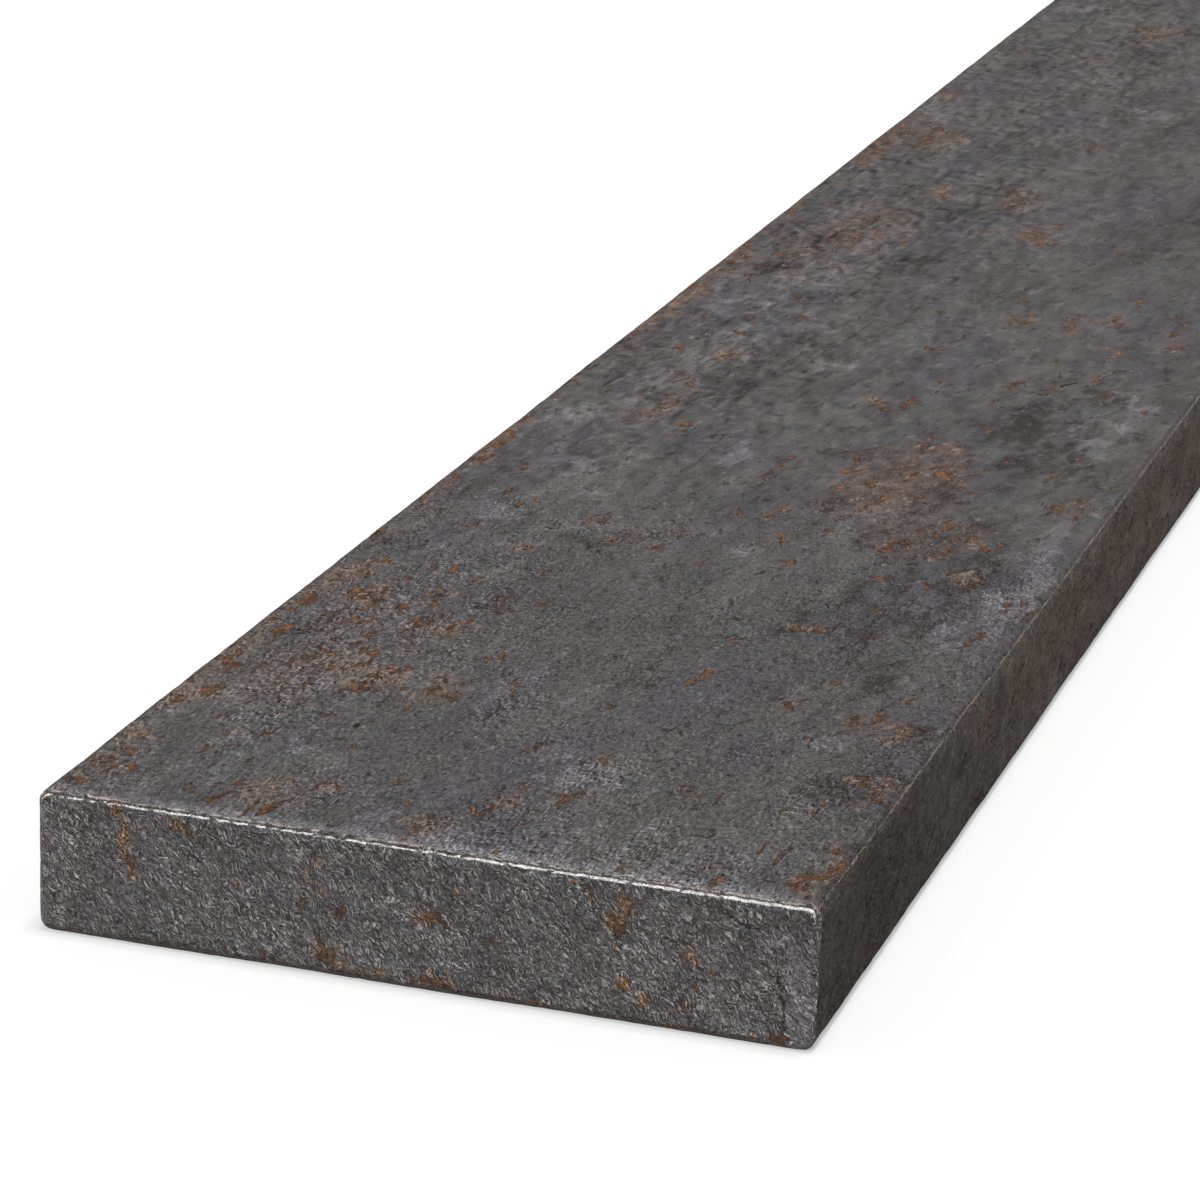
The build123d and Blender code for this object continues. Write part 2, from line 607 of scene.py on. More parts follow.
# The cracks in the near cut face, each from one place across and up to another.
CRACKS = ((30.4, 13.2, 32.0, 12.3), (32.0, 12.3, 34.3, 11.7), (36.0, 8.2, 36.7, 5.4),
          (36.7, 5.4, 37.2, 2.2), (25.0, 9.6, 26.2, 9.2))
CRACK_HALF = 0.07
CRACKS_REACH = 1             # how far from the near end the points that they move lie
CRACK_WAVER = 0.3
CRACK_WAVER_SIZE = 1
CRACK_SEEDS = (13, 14)
PATCH_DEPTH = 4.0            # how far down the sides a patch on a wide face reaches
SEEN_LENGTH = 345            # the patches above were chosen up to here
HIDDEN_PATCHES = 70
HIDDEN_ACROSS = (2, 6)       # the half sizes and the strength of the patches that nobody chose
HIDDEN_ALONG = (3, 10)
HIDDEN_STRENGTH = (0.5, 1.0)
STAIN_INWARDS = 1.5
SHADE_INWARDS = 2.0
PATCH_RAGGED, RAGGED = 0.5, (2.2, 9, 3)
PATCH_FADES = (0.3, 1.5)     # in half sizes of the patch
DRIFT_SIZE = 7
DRIFT_SEEDS = (10, 11, 12)
TOP_DRIFT = 3.0
STAIN_DRIFT = 0.5


def on_top(patches):
    return [((x, NEAR_END + y, THICKNESS), (half_x, half_y, PATCH_DEPTH), strength)
            for x, y, half_x, half_y, strength in patches]


def on_near_end(stains):
    return [((x, NEAR_END, z), (half_x, STAIN_INWARDS, half_z), strength)
            for x, z, half_x, half_z, strength in stains]


def on_right_side(shades):
    return [((HALF_WIDTH, NEAR_END + y, z), (SHADE_INWARDS, half_y, half_z), strength)
            for y, z, half_y, half_z, strength in shades]


def scattered(seed):
    """Patches of the same kind over the rest of the bar."""
    chance = random.Random(seed)
    found = []
    for number in range(HIDDEN_PATCHES):
        underneath = number % 2
        first = NEAR_END if underneath else NEAR_END + SEEN_LENGTH
        centre = (chance.uniform(-HALF_WIDTH, HALF_WIDTH), chance.uniform(first, HALF_LENGTH),
                  0 if underneath else THICKNESS)
        halves = (chance.uniform(*HIDDEN_ACROSS), chance.uniform(*HIDDEN_ALONG), PATCH_DEPTH)
        found.append((centre, halves, chance.uniform(*HIDDEN_STRENGTH)))
    return found


def coverage(points, warped, patches):
    """How much of each point the patches cover, 0 to 1, with ragged outlines."""
    ragged = 1 + PATCH_RAGGED * field(points, *RAGGED)
    found = np.zeros(len(points))
    for centre, halves, strength in patches:
        away = np.linalg.norm((warped - centre) / halves, axis=1) * ragged
        found = np.maximum(found, strength * (1 - smooth(away, *PATCH_FADES)))
    return found


def coverages(points):
    """The shares of each point that the materials read, by the attribute's name."""
    drift = np.column_stack([field(points, DRIFT_SIZE, seed) for seed in DRIFT_SEEDS])
    warped = points + TOP_DRIFT * drift
    on_end = points + STAIN_DRIFT * drift
    return {"pale_scale_and_sheen": coverage(points, warped, on_top(PALE_PATCHES) + scattered(1)),
            "rust_bloom": np.maximum(
                coverage(points, warped, on_top(RUST_PATCHES) + scattered(2)),
                coverage(points, on_end, on_near_end(RUST_STAINS))),
            "dark_scale_and_shade": np.maximum(
                coverage(points, warped, on_top(DARK_PATCHES) + scattered(3)),
                coverage(points, points + drift, on_right_side(SIDE_SHADES))),
            "pale_cut_and_sheen": coverage(points, on_end, on_near_end(PALE_RUBS_AND_SHEEN)),
            "crack": cracked(points)}


# ---- Materials ----

SCALE_COOL = srgb(89, 87, 89)
SCALE_WARM = srgb(94, 91, 89)
SCALE_PALE = srgb(121, 118, 122)
SCALE_DARK = srgb(62, 58, 58)
BROWN_BLOOM = srgb(111, 94, 84)
BEIGE_GRAIN = srgb(146, 130, 118)
RUST_RIM = srgb(64, 50, 43)
RUST_DEEP = srgb(98, 75, 61)
RUST_BRIGHT = srgb(140, 101, 74)
RUST_PEACH = srgb(184, 150, 124)
PIT_DARK = srgb(44, 40, 39)
CUT_GREY = srgb(118, 115, 115)
CUT_DEEP = srgb(97, 94, 94)
CUT_PALE = srgb(138, 136, 138)
STAIN_BROWN = srgb(116, 88, 64)
STAIN_OCHRE = srgb(160, 116, 70)
BARE_METAL = srgb(252, 249, 248)
ARRIS_HIGHLIGHT = srgb(214, 200, 193)
ARRIS_BROWN = srgb(84, 66, 57)
ARRIS_GLOW = srgb(150, 147, 150)
EDGE_BROWN = srgb(110, 102, 96)
EDGE_DEEP = srgb(98, 92, 88)
EDGE_LINE = srgb(152, 134, 124)
EDGE_GLINT = srgb(196, 184, 176)
EDGE_SHADE = srgb(74, 71, 69)

SCALE_SHINE = 0.0
CUT_SHINE = 0.2
SIDE_ROUGH = 0.6
DARKEST = 0.3                # no grain or stroke shades the colour under it below this


def new_material(name):
    material = bpy.data.materials.new(name)
    material.use_nodes = True
    return material, Graph(material.node_tree)


BLOOM_FROM, BLOOM_TO = 0.15, 0.85
BLOOM_RAGGED = 1.2


def bloom_over(graph, colour, rust, lumps, bloom, share, raggedness=BLOOM_RAGGED):
    """A thin brown bloom with ragged outlines, through which the metal shows."""
    ragged = graph.sway(rust, (lumps["X"], raggedness))
    return graph.mix(graph.ramp(ragged, BLOOM_FROM, BLOOM_TO, 0.0, share), colour, bloom)


# The noises of a pattern: size, detail, roughness and distortion, as Graph.noise takes them.
RUST_FLECKS = (1.7, 2, 0.5, 1.0)
RUST_SPECKS = (0.9, 1, 0.5, 0.6)
FLECK_GAIN = 0.18            # how much more of it a rusty patch has
SPECK_GAIN = 0.22
FLECK_RAGGED = 0.16
FLECK_AT = 0.69              # the level of its noise at which a fleck, a speck or a pit shows
SPECK_AT = 0.75
PIT_AT = 0.27
RIM_STEP = 0.05              # how fast it comes in
FLECK_STEP = 0.04
PIT_STEP = 0.03
SPECK_SHARE, RIM_SHARE, FLECK_SHARE, PIT_SHARE = 0.8, 0.8, 0.9, 0.85
BRIGHT_RUST_AT = (0.4, 0.6)
PEACH_RUST_AT = (0.6, 0.74, 0.0, 0.8)


def rust_over(graph, along, colour, rust, lumps, grains):
    """Flecks of rust with dark rims, pale grains among them, and pits where there is none."""
    flecks = graph.noise(along, *RUST_FLECKS)
    specks = graph.noise(along, *RUST_SPECKS)
    beige = graph.plus(specks, graph.times(rust, SPECK_GAIN))
    beige = graph.ramp(beige, SPECK_AT, SPECK_AT + FLECK_STEP, 0.0, SPECK_SHARE)
    colour = graph.mix(beige, colour, BEIGE_GRAIN)
    rusty = graph.plus(flecks, graph.times(rust, FLECK_GAIN))
    rusty = graph.sway(rusty, (grains["Z"], FLECK_RAGGED))
    rim = graph.ramp(rusty, FLECK_AT - RIM_STEP, FLECK_AT, 0.0, RIM_SHARE)
    colour = graph.mix(rim, colour, RUST_RIM)
    tone = graph.mix(graph.ramp(lumps["Y"], *BRIGHT_RUST_AT), RUST_DEEP, RUST_BRIGHT)
    tone = graph.mix(graph.ramp(grains["Y"], *PEACH_RUST_AT), tone, RUST_PEACH)
    tone = graph.shade(tone, graph.sway(1.0, (grains["X"], 1.0)))
    fleck = graph.ramp(rusty, FLECK_AT, FLECK_AT + FLECK_STEP, 0.0, FLECK_SHARE)
    colour = graph.mix(fleck, colour, tone)
    pits = graph.ramp(flecks, PIT_AT - PIT_STEP, PIT_AT, PIT_SHARE, 0.0)
    return graph.mix(pits, colour, PIT_DARK)


RIDGE_AT = 0.54              # where a noise has its light ridges and its dark grooves
GROOVE_AT = 0.45


def ridge_light_groove_shade(graph, curl, ridge, groove, half):
    """Light ridges and dark grooves side by side, along the outlines of a noise: painted highlights
    on the ridges and painted shade beside them.
    """
    light = graph.times(graph.band(curl, RIDGE_AT, half), ridge)
    dark = graph.times(graph.band(curl, GROOVE_AT, half), groove)
    return graph.less(light, dark)


SLOPE_NOISE = (2.5, 0.5, 1.2)            # detail, roughness and distortion
STROKE_STEEP = 0.06
STROKE_STEEPEST = 2.2 * STROKE_STEEP


def slopes(graph, along, size, reach):
    """How steeply a noise rises along the reach."""
    ahead = graph.noise(graph.vectors("ADD", along, reach), size, *SLOPE_NOISE)
    behind = graph.noise(graph.vectors("SUBTRACT", along, reach), size, *SLOPE_NOISE)
    return graph.less(ahead, behind)


def emboss_shading(graph, along, size, reach, light, dark):
    """Painted light and shade: light and dark strokes on the two sides of small bumps, where those
    are steep.
    """
    slope = slopes(graph, along, size, reach)
    lit = graph.ramp(slope, STROKE_STEEP, STROKE_STEEPEST, 0.0, light)
    shaded = graph.ramp(slope, -STROKE_STEEPEST, -STROKE_STEEP, dark, 0.0)
    return graph.less(lit, shaded)


def beyond_core(graph, place):
    """How far each point lies outside the section's core, across and up."""
    x, z = graph.parts(place, "XZ")
    across = graph.less(graph.maths("ABSOLUTE", x), CORE_X)
    up = graph.less(graph.maths("ABSOLUTE", graph.less(z, MIDDLE)), CORE_Z)
    return graph.most(across, 0.0), graph.most(up, 0.0)


def from_cut(graph, place):
    """How far each point lies from the nearer cut face."""
    return graph.less(HALF_LENGTH, graph.maths("ABSOLUTE", graph.apart(place)["Y"]))


EDGE_WAVER = (0.8, 3, 0.6)
EDGE_WAVER_STRETCH = (1, 2, 1)
EDGE_WAVER_GAIN = 0.6
EDGE_RUNS = (7.0, 4, 0.62)
EDGE_SHADED = (0.1, 0.5, 0.0, 0.4)
EDGE_ROUND = (0.4, 0.7)      # this far into both faces' rounding, the edge itself begins
EDGE_LINE_HALF = 0.22
# How strong the line is along the edge, in short breaks and in longer runs.
EDGE_LINE_BREAKS = (0.34, 0.6, 0.4, 1.0)
EDGE_LINE_RUNS = (0.36, 0.58, 0.35, 1.0)
EDGE_GLINTS_AT = (0.57, 0.65)


def long_edge_over(graph, place, colour):
    """A thin, broken, lighter line along a long edge, worn and partly a painted highlight, with a
    few painted glints, and painted shade on the rounding beside it.
    """
    across, up = beyond_core(graph, place)
    waver = graph.noises(graph.vectors("DIVIDE", place, EDGE_WAVER_STRETCH), *EDGE_WAVER)
    lean = graph.sway(graph.less(across, up), (waver["X"], EDGE_WAVER_GAIN))
    rounded = graph.maths("MINIMUM", across, up)
    # Painted shade on the rounding of the long edge.
    colour = graph.mix(graph.ramp(rounded, *EDGE_SHADED), colour, EDGE_SHADE)
    runs = graph.noises(place, *EDGE_RUNS)
    breaks = graph.ramp(waver["Y"], *EDGE_LINE_BREAKS)
    line = graph.times(graph.band(lean, 0.0, EDGE_LINE_HALF), breaks)
    line = graph.times(line, graph.ramp(rounded, *EDGE_ROUND))
    line = graph.times(line, graph.ramp(runs["X"], *EDGE_LINE_RUNS))
    colour = graph.mix(line, colour, EDGE_LINE)
    # Painted glints on the line.
    bright = graph.times(line, graph.ramp(runs["Y"], *EDGE_GLINTS_AT))
    return graph.mix(bright, colour, EDGE_GLINT)


ARRIS_WAVER = (0.5, 3, 0.65)
ARRIS_WAVER_STRETCH = (2, 1, 1)
ARRIS_WAVER_GAIN = 0.55
ARRIS_UPPER = (THICKNESS - 1.6, THICKNESS - 0.6)
RUSTED_OVER = (0.85, 0.95, 1.0, 0.0)
# How far from the middle of the arris, towards the wide face, each of its lines runs, and
# half its width. The white line gets wider and more whole towards the right, and the highlight line
# is a painted highlight.
WHITE_LINE = -0.3
WHITE_WIDTHS = (0.2, 0.3)
WHITE_CORE = 0.4             # the share of its width that is wholly bare
WHITE_AT = (0.44, 0.52)
WHITE_RUN = (-30, 34)
WHITE_WIDER = (0.2, 1.0)
WHITE_WHOLER = 0.08
BROWN_LINE = 0.06
BROWN_HALF = 0.16
BROWN_AT = (0.35, 0.6, 0.9, 0.4)
HIGHLIGHT_LINE = 0.38
HIGHLIGHT_HALF = 0.26
HIGHLIGHT_AT = (0.44, 0.54)
FOOT_RAGGED = 1.4            # the darker lower rim of the cut face
FOOT_REACH = (0.5, 1.1, 0.75, 0.0)
FOOT_ALONG = (0.8, 1.4, 1.0, 0.0)
FOOT_CORNER = (33, 37, 1.0, 0.3)


def foot_over(graph, place, colour, waver):
    """A brown line along the bottom of the cut face, fainter at the right corner."""
    x, z = graph.parts(place, "XZ")
    low = graph.ramp(graph.sway(z, (waver["Z"], FOOT_RAGGED)), *FOOT_REACH)
    low = graph.times(low, graph.ramp(from_cut(graph, place), *FOOT_ALONG))
    low = graph.times(low, graph.ramp(x, *FOOT_CORNER))
    return graph.mix(low, colour, RUST_RIM)


def arris_over(graph, place, colour):
    """Worn metal on the arris of a cut end, with a painted highlight line along it: the colour, and
    how bare the metal is.
    """
    x, z = graph.parts(place, "XZ")
    outside = graph.joined(dict(zip("XY", beyond_core(graph, place))))
    rim = graph.less(EDGE_RADIUS, graph.vectors("LENGTH", outside))
    waver = graph.noises(graph.vectors("DIVIDE", place, ARRIS_WAVER_STRETCH), *ARRIS_WAVER)
    across = graph.less(from_cut(graph, place), rim)
    across = graph.sway(across, (waver["X"], ARRIS_WAVER_GAIN))
    upper = graph.ramp(z, *ARRIS_UPPER)
    kept = graph.times(upper, graph.ramp(graph.attribute("rust_bloom"), *RUSTED_OVER))
    colour = foot_over(graph, place, colour, waver)
    brown = graph.times(graph.band(across, BROWN_LINE, BROWN_HALF), upper)
    brown = graph.times(brown, graph.ramp(waver["Z"], *BROWN_AT))
    colour = graph.mix(brown, colour, ARRIS_BROWN)
    # A painted highlight along the arris, towards the wide face.
    beige = graph.band(across, HIGHLIGHT_LINE, HIGHLIGHT_HALF)
    beige = graph.times(beige, graph.ramp(waver["Z"], *HIGHLIGHT_AT))
    colour = graph.mix(graph.times(beige, kept), colour, ARRIS_HIGHLIGHT)
    rightwards = graph.ramp(x, *WHITE_RUN)
    wide = graph.ramp(rightwards, *WHITE_WIDER, *WHITE_WIDTHS)
    from_line = graph.maths("ABSOLUTE", graph.less(across, WHITE_LINE))
    bare = graph.ramp(graph.maths("DIVIDE", from_line, wide), WHITE_CORE, 1.0, 1.0, 0.0)
    whole = graph.plus(waver["Y"], graph.times(rightwards, WHITE_WHOLER))
    bare = graph.times(graph.times(bare, graph.ramp(whole, *WHITE_AT)), kept)
    return graph.mix(bare, colour, BARE_METAL), bare


TOP_TURN = math.radians(6)
TOP_STRETCH = 2.3
SCALE_GRAINS = (0.32, 2, 0.6)
TOP_LUMPS = (1.1, 3, 0.6, 0.3)
TOP_MOTTLE = (3.0, 4, 0.65, 0.5)
TOP_BROAD = (10, 4, 0.6)
TOP_BROAD_STRETCH = (1, 1.5, 1)
TOP_CURL = (0.9, 1.5, 0.5, 1.2)
# The strokes on the top turn soft from here to here, from the near end, and crisp again.
SOFT_FROM, SOFT_TO = NEAR_END + 40, NEAR_END + 175
CRISP_FROM, CRISP_TO = NEAR_END + 400, NEAR_END + 600


class TopPatterns:
    """The noises that the wide faces' colour, strokes and rust share."""

    def __init__(self, graph, place):
        self.along = graph.turned(place, (0, 0, TOP_TURN), (1, TOP_STRETCH, 1))
        self.grains = graph.noises(self.along, *SCALE_GRAINS)
        self.lumps = graph.noises(self.along, *TOP_LUMPS)
        self.mottle = graph.noises(self.along, *TOP_MOTTLE)
        stretched = graph.vectors("DIVIDE", self.along, TOP_BROAD_STRETCH)
        self.broad = graph.noises(stretched, *TOP_BROAD)
        self.curl = graph.noise(self.along, *TOP_CURL)
        self.x, self.y = graph.parts(place, "XY")
        self.further = graph.times(graph.ramp(self.y, SOFT_FROM, SOFT_TO),
                                   graph.ramp(self.y, CRISP_FROM, CRISP_TO, 1.0, 0.0))


TINT_SWAY = 0.4
TINT_AT = (0.35, 0.65)
DARK_GAIN, DARK_MOTTLE, DARK_LUMPS = 0.8, 2.4, 1.2
DARK_AT = (0.25, 0.85, 0.0, 0.7)
PALE_GAIN, PALE_MOTTLE, PALE_LUMPS, PALE_GRAINS = 0.7, 2.4, 1.2, 0.8
PALE_AT = (0.2, 0.7, 0.0, 0.6)
ARRIS_SHEEN_RAGGED = 2.0
ARRIS_SHEEN_REACH = (0.3, 3.4, 0.36, 0.0)
TOP_BLOOM_SHARE = 0.75


def scale_colour(graph, place, found, rust, pale, dark):
    """The mill scale's colour before strokes and rust, with a painted sheen behind the arris, and
    how worn it is, painted sheen included.
    """
    tint = graph.sway(found.broad["X"], (found.mottle["Z"], TINT_SWAY))
    colour = graph.mix(graph.ramp(tint, *TINT_AT), SCALE_COOL, SCALE_WARM)
    sunk = graph.sway(graph.times(dark, DARK_GAIN), (found.mottle["Y"], DARK_MOTTLE),
                      (found.lumps["Z"], DARK_LUMPS))
    colour = graph.mix(graph.ramp(sunk, *DARK_AT), colour, SCALE_DARK)
    worn = graph.sway(graph.times(pale, PALE_GAIN), (found.mottle["X"], PALE_MOTTLE),
                      (found.lumps["X"], PALE_LUMPS), (found.grains["Y"], PALE_GRAINS))
    worn = graph.ramp(worn, *PALE_AT)
    # Pale scale, and the painted sheen of the patches along the near arris.
    colour = graph.mix(worn, colour, SCALE_PALE)
    # Painted sheen on the wide face just behind each cut end, where the rounded arris catches the
    # light.
    arris_sheen = graph.sway(from_cut(graph, place), (found.lumps["Z"], ARRIS_SHEEN_RAGGED))
    colour = graph.mix(graph.ramp(arris_sheen, *ARRIS_SHEEN_REACH), colour, ARRIS_GLOW)
    colour = bloom_over(graph, colour, rust, found.lumps, BROWN_BLOOM, TOP_BLOOM_SHARE)
    return colour, worn


CRISP_RUST, CRISP_PALE, CRISP_BROAD, CRISP_MOTTLE = 0.3, 0.25, 1.2, 0.8
CRISP_AT = (-0.1, 0.4, 0.2, 0.74)
GRAIN_GAIN = 2.0
GRAIN_STILL = 0.3            # the share of the grain that also a smooth place has
STROKES = (0.6, (0.06, 0.08, 0), 2.0, 1.0)   # size, reach, and how light and how dark the painted lit and shaded sides are
STROKES_FURTHER = 0.09       # the share of strokes and grain that is left further along
SCALE_FLAKE_SHADING = (2.6, (0.3, 0.3, 0))
FLAKE_SHADING_GAIN = 1.3
FLAKE_RUN = (-22, 18, 1.0, 0.2)
FLAKE_CRISP = 0.4
WIDE_BROAD, WIDE_MOTTLE, WIDE_FURTHER = 0.75, 0.7, 1.8
BASES = (1.22, 1.09)         # near the end and further along


def scale_level(graph, found, rust, pale):
    """How light each point of the scale is: painted light and shade of strokes near the end, and of
    flake slopes further along.
    """
    crisp = graph.total((rust, CRISP_RUST), (pale, CRISP_PALE))
    crisp = graph.sway(crisp, (found.broad["Z"], CRISP_BROAD), (found.mottle["Y"], CRISP_MOTTLE))
    crisp = graph.ramp(crisp, *CRISP_AT)
    grain = graph.centred(found.grains["X"], GRAIN_GAIN)
    grain = graph.times(grain, graph.plus(crisp, GRAIN_STILL))
    level = emboss_shading(graph, found.along, *STROKES)
    level = graph.plus(graph.times(level, crisp), grain)
    level = graph.times(level, graph.ramp(found.further, 0.0, 1.0, 1.0, STROKES_FURTHER))
    # Painted light and shade on the slopes of the scale's flakes.
    flake_shading = graph.times(slopes(graph, found.along, *SCALE_FLAKE_SHADING), FLAKE_SHADING_GAIN)
    leftwards = graph.ramp(found.x, *FLAKE_RUN)
    flake_shading = graph.times(flake_shading, graph.plus(graph.times(crisp, FLAKE_CRISP), leftwards))
    level = graph.plus(level, graph.times(flake_shading, found.further))
    wide = graph.centred(found.broad["Y"], WIDE_BROAD)
    wide = graph.sway(wide, (found.mottle["Z"], WIDE_MOTTLE))
    wide = graph.times(wide, graph.ramp(found.further, 0.0, 1.0, 1.0, WIDE_FURTHER))
    base = graph.ramp(found.further, 0.0, 1.0, *BASES)
    return graph.plus(graph.plus(level, base), wide)


RUST_FURTHER = (1.05, 0.85)  # how much of the rust flecks, near the end and further along
RUST_FADES = (NEAR_END + 170, NEAR_END + 320, 1.0, 0.65)
TOP_ROUGH = (0.6, 0.5)       # where the scale is whole, and where it is worn
BUMP_GRAINS, BUMP_LUMPS, BUMP_CURL, BUMP_FURTHER = 0.5, 0.8, 1.2, 0.4


def rolled_face():
    """Mill scale on the wide faces: grey, with pale and dark patches, rust in spots, painted light
    and shade in its strokes, and painted sheen behind the cut ends.
    """
    material, graph = new_material("rolled_face")
    place = graph.millimetres()
    rust, pale, dark = graph.attributes("rust_bloom", "pale_scale_and_sheen", "dark_scale_and_shade")
    found = TopPatterns(graph, place)
    colour, worn = scale_colour(graph, place, found, rust, pale, dark)
    level = scale_level(graph, found, rust, pale)
    colour = graph.shade(colour, graph.most(level, DARKEST))
    flecked = graph.times(rust, graph.ramp(found.further, 0.0, 1.0, *RUST_FURTHER))
    rusty = rust_over(graph, found.along, colour, flecked, found.lumps, found.grains)
    colour = graph.mix(graph.ramp(found.y, *RUST_FADES), colour, rusty)
    colour = long_edge_over(graph, place, colour)
    colour, bare = arris_over(graph, place, colour)
    rough = graph.ramp(worn, 0.0, 1.0, *TOP_ROUGH)
    height = graph.total((found.grains["X"], BUMP_GRAINS), (found.lumps["X"], BUMP_LUMPS),
                         (found.curl, BUMP_CURL))
    height = graph.times(height, graph.ramp(found.further, 0.0, 1.0, 1.0, BUMP_FURTHER))
    graph.finish(colour, rough, bare, height, SCALE_SHINE)
    return material


SIDE_STRETCH = (1, 2.4, 1.2)
SIDE_LUMPS = (1.2, 3, 0.6, 0.3)
SIDE_MOTTLE = (4, 4, 0.65, 0.5)
SIDE_STROKES = (0.8, 3, 0.6, 1.0)
SIDE_STROKE_STRETCH = (1, 1, 1.6)
SIDE_CURL = (0.9, 2, 0.6, 1.2)
SIDE_TINT_SWAY = 0.8
SIDE_TINT_AT = (0.3, 0.7)
SIDE_DARK = 0.7
SIDE_BLOOM_SHARE = 0.4
SIDE_CRISP_AT = (0.4, 0.65)
SIDE_RIDGES = (0.5, 0.4, 0.05)   # how light and how dark, and half the width
SIDE_GRAIN_GAIN = 1.4
SIDE_STROKE_GAIN, SIDE_MOTTLE_GAIN = 0.8, 1.1
SIDE_RUST = 0.4
SIDE_BUMP_STROKES = 0.8


def rolled_edge():
    """The narrow faces: browner, with faint strokes across them, painted light and shade on their
    ridges, and painted shade on the right face near the near end.
    """
    material, graph = new_material("rolled_edge")
    place = graph.millimetres()
    rust, dark = graph.attributes("rust_bloom", "dark_scale_and_shade")
    along = graph.vectors("DIVIDE", place, SIDE_STRETCH)
    grains = graph.noises(along, *SCALE_GRAINS)
    lumps = graph.noises(along, *SIDE_LUMPS)
    mottle = graph.noises(along, *SIDE_MOTTLE)
    strokes = graph.noise(graph.vectors("DIVIDE", along, SIDE_STROKE_STRETCH), *SIDE_STROKES)
    curl = graph.noise(along, *SIDE_CURL)
    tint = graph.sway(lumps["Z"], (mottle["X"], SIDE_TINT_SWAY))
    colour = graph.mix(graph.ramp(tint, *SIDE_TINT_AT), EDGE_DEEP, EDGE_BROWN)
    # Dark scale, and painted shade on the right face near the near end.
    colour = graph.mix(graph.times(dark, SIDE_DARK), colour, EDGE_SHADE)
    colour = bloom_over(graph, colour, rust, lumps, BROWN_BLOOM, SIDE_BLOOM_SHARE)
    crisp = graph.ramp(graph.sway(lumps["Y"], (mottle["Z"], 1.0)), *SIDE_CRISP_AT)
    level = graph.times(ridge_light_groove_shade(graph, curl, *SIDE_RIDGES), crisp)
    level = graph.sway(level, (grains["X"], SIDE_GRAIN_GAIN), (strokes, SIDE_STROKE_GAIN))
    level = graph.sway(graph.plus(level, 1.0), (mottle["Y"], SIDE_MOTTLE_GAIN))
    colour = graph.shade(colour, graph.most(level, DARKEST))
    colour = rust_over(graph, along, colour, graph.times(rust, SIDE_RUST), lumps, grains)
    colour = long_edge_over(graph, place, colour)
    height = graph.total((grains["X"], BUMP_GRAINS), (strokes, SIDE_BUMP_STROKES))
    graph.finish(colour, SIDE_ROUGH, 0.0, height, SCALE_SHINE)
    return material


CUT_STRETCH = (1, 1, 1.7)
CUT_WAVER = (1.6, 2, 0.5)
CUT_BEND = 1.5               # how far the waver bends the strokes
CUT_GRAINS = (0.26, 2, 0.6)
CUT_LUMPS = (1.5, 3, 0.6, 0.3)
CUT_MOTTLE = (3, 4, 0.65, 0.5)
CUT_CURL = (0.7, 1.5, 0.5, 1.5)


class CutPatterns:
    """The noises that the cut faces' colour and strokes share."""

    def __init__(self, graph, place):
        leaning = graph.turned(place, (0, CUT_LEAN, 0), CUT_STRETCH)
        waver = graph.noises(place, *CUT_WAVER)
        bend = graph.joined({axis: graph.centred(waver[axis], CUT_BEND) for axis in "XYZ"})
        self.along = graph.vectors("ADD", leaning, bend)
        self.grains = graph.noises(self.along, *CUT_GRAINS)
        self.lumps = graph.noises(place, *CUT_LUMPS)
        self.mottle = graph.noises(place, *CUT_MOTTLE)
        self.curl = graph.noise(self.along, *CUT_CURL)


CUT_TINT_AT = (0.35, 0.65)
POLISH_AND_SHEEN_RAGGED = 1.2
POLISH_AND_SHEEN_AT = (0.15, 0.7, 0.0, 0.75)
OCHRE_AT = (0.45, 0.65)
STAIN_GRAINS = 1.0
STAIN_LESS = 0.08
STAIN_SHARE = 0.75
STAIN_RAGGED = 2.8


def cut_colour(graph, found, rust, pale):
    """The cut face's colour before its strokes, with a painted sheen near its right edge, and how
    polished it is, painted sheen included.
    """
    tint = graph.ramp(found.mottle["X"], *CUT_TINT_AT)
    colour = graph.mix(tint, CUT_DEEP, CUT_GREY)
    # Polish, and a painted sheen near the right edge.
    polish_and_sheen = graph.ramp(graph.sway(pale, (found.lumps["Z"], POLISH_AND_SHEEN_RAGGED)), *POLISH_AND_SHEEN_AT)
    colour = graph.mix(polish_and_sheen, colour, CUT_PALE)
    stain = graph.mix(graph.ramp(found.grains["Y"], *OCHRE_AT), STAIN_BROWN, STAIN_OCHRE)
    stained = graph.less(graph.sway(rust, (found.grains["Z"], STAIN_GRAINS)), STAIN_LESS)
    colour = bloom_over(graph, colour, stained, found.lumps, stain, STAIN_SHARE, STAIN_RAGGED)
    return colour, polish_and_sheen


CUT_CRISP_MOTTLE, CUT_CRISP_LUMPS = 1.5, 1.2
CUT_CRISP_AT = (-0.3, 0.25, 0.5, 0.95)
CUT_STROKES = (0.48, (0.06, 0, 0.02), 3.0, 1.1)
CUT_RIDGES = (2.0, 0.8, 0.033)
CUT_POLISH_AND_SHEEN = 0.5           # the share of the strokes kept where the face is polished and where sheen is painted
CUT_GRAIN_GAIN = 2.0
CUT_SHADE_BASES = (1.07, 0.97)     # painted shade: lighter at the bottom of the cut face, darker at the top


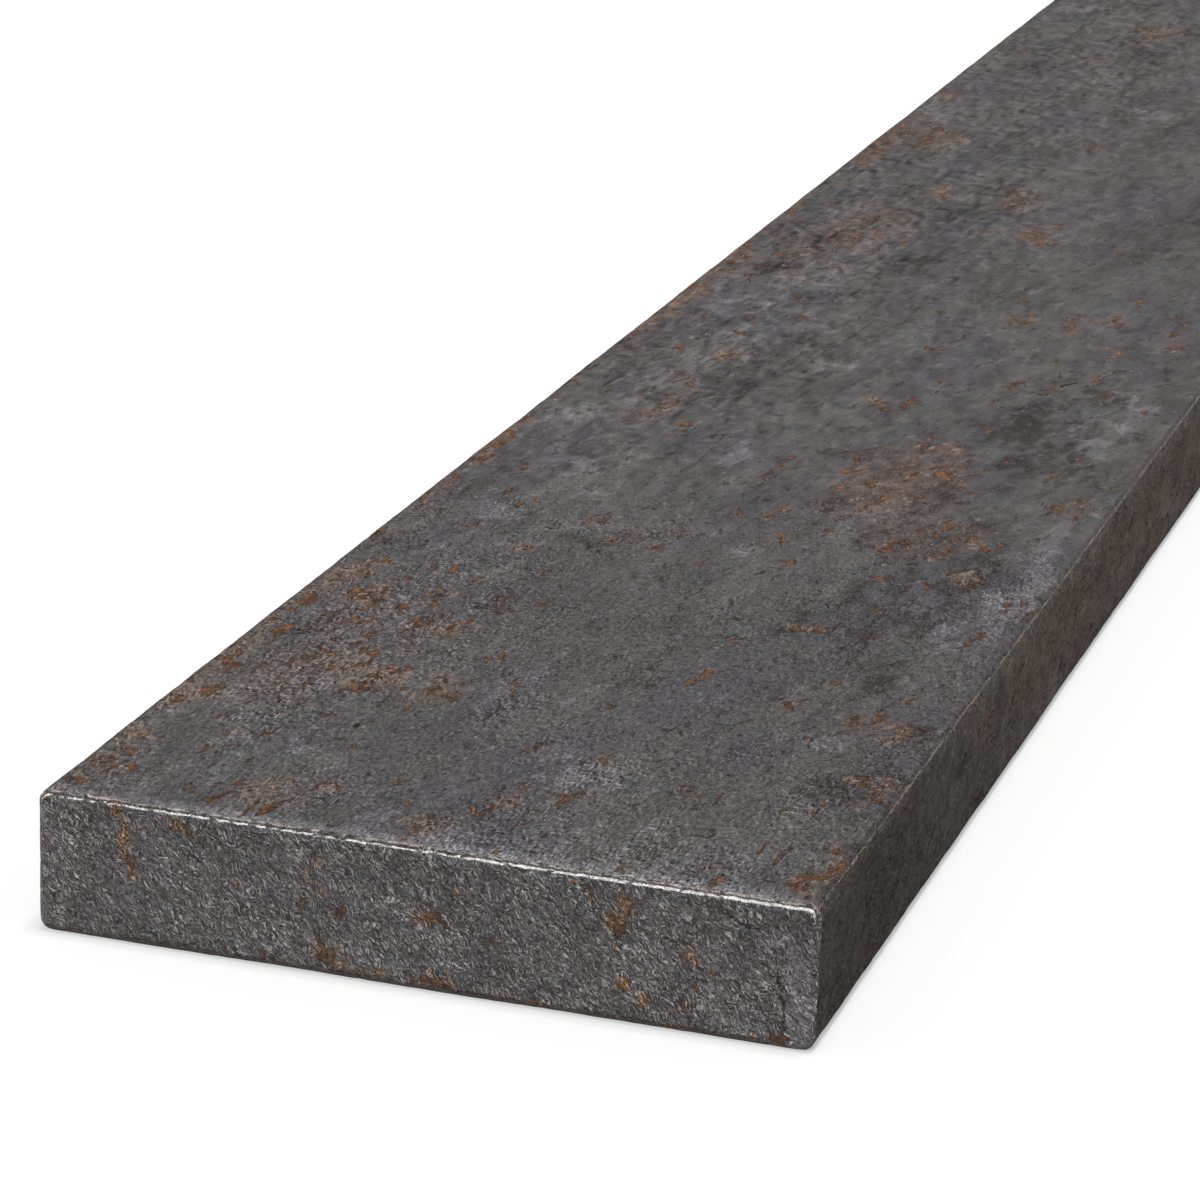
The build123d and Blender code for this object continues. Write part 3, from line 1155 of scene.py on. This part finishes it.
def cut_level(graph, place, found, polish_and_sheen):
    """How light each point of the cut face is: painted light and shade of curly strokes and fine
    ridges over grain, and painted shade towards the top.
    """
    crisp = graph.centred(found.mottle["Z"], CUT_CRISP_MOTTLE)
    crisp = graph.sway(crisp, (found.lumps["Y"], CUT_CRISP_LUMPS))
    crisp = graph.ramp(crisp, *CUT_CRISP_AT)
    lines = graph.plus(emboss_shading(graph, found.along, *CUT_STROKES),
                       ridge_light_groove_shade(graph, found.curl, *CUT_RIDGES))
    lines = graph.times(lines, graph.ramp(polish_and_sheen, 0.0, 1.0, 1.0, CUT_POLISH_AND_SHEEN))
    level = graph.sway(graph.times(lines, crisp), (found.grains["X"], CUT_GRAIN_GAIN))
    return graph.plus(level, graph.ramp(graph.apart(place)["Z"], 0.0, THICKNESS, *CUT_SHADE_BASES))


CUT_RUST = 0.5
CRACK_RAGGED = 1.6
CRACK_AT = (0.38, 0.7, 0.0, 0.85)
CUT_ROUGH = (0.5, 0.38)      # where it is dull, and where the metal is bare
CUT_BUMP_CURL, CUT_BUMP_LUMPS, CUT_BUMP_GRAINS = 1.2, 1.0, 0.6


def cut_end():
    """The cut faces: fine curly strokes over grey in painted light and shade, and worn bright at
    the arris, with a painted highlight line.
    """
    material, graph = new_material("cut_end")
    place = graph.millimetres()
    rust, crack, pale = graph.attributes("rust_bloom", "crack", "pale_cut_and_sheen")
    found = CutPatterns(graph, place)
    colour, polish_and_sheen = cut_colour(graph, found, rust, pale)
    level = cut_level(graph, place, found, polish_and_sheen)
    colour = graph.shade(colour, graph.most(level, DARKEST))
    flecked = graph.times(rust, CUT_RUST)
    colour = rust_over(graph, found.along, colour, flecked, found.lumps, found.grains)
    open_crack = graph.ramp(graph.sway(crack, (found.grains["Y"], CRACK_RAGGED)), *CRACK_AT)
    colour = graph.mix(open_crack, colour, PIT_DARK)
    colour, bare = arris_over(graph, place, colour)
    rough = graph.ramp(bare, 0.0, 1.0, *CUT_ROUGH)
    height = graph.total((found.curl, CUT_BUMP_CURL), (found.lumps["X"], CUT_BUMP_LUMPS),
                         (found.grains["X"], CUT_BUMP_GRAINS))
    graph.finish(colour, rough, bare, height, CUT_SHINE)
    return material


# ---- The bar ----

FACE, EDGE, CUT = range(3)   # in the order of the mesh's materials
CUT_FACING = 0.5             # a face that looks this much along the bar belongs to a cut end


def read(things, what, width=3):
    """One property of a mesh's vertices or faces as an array."""
    values = np.empty(len(things) * width)
    things.foreach_get(what, values)
    return values.reshape(-1, width)


def face_kinds(mesh):
    """Which material each face of the smooth bar takes."""
    normals = np.abs(read(mesh.polygons, "normal"))
    kinds = np.where(normals[:, 0] > normals[:, 2], EDGE, FACE)
    return np.where(normals[:, 1] > CUT_FACING, CUT, kinds)


def add_bar():
    mesh = smooth_bar()
    kinds = face_kinds(mesh)
    points = read(mesh.vertices, "co")
    normals = read(mesh.vertices, "normal")
    for name, values in coverages(points).items():
        attribute = mesh.attributes.new(name, "FLOAT", "POINT")
        attribute.data.foreach_set("value", values)
    points -= normals * relief(points)[:, None]
    mesh.vertices.foreach_set("co", (points * MM).ravel())
    for material in (rolled_face(), rolled_edge(), cut_end()):
        mesh.materials.append(material)
    mesh.polygons.foreach_set("material_index", kinds)
    mesh.polygons.foreach_set("use_smooth", np.ones(len(kinds), dtype=bool))
    mesh.update()
    bar = link("flat_bar_steel", mesh)
    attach(bar, "root")
    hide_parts("flat_bar")


bpy.context.scene.view_settings.view_transform = "Standard"
add_camera()
add_lamps()
add_sky()
add_floor()
add_bar()
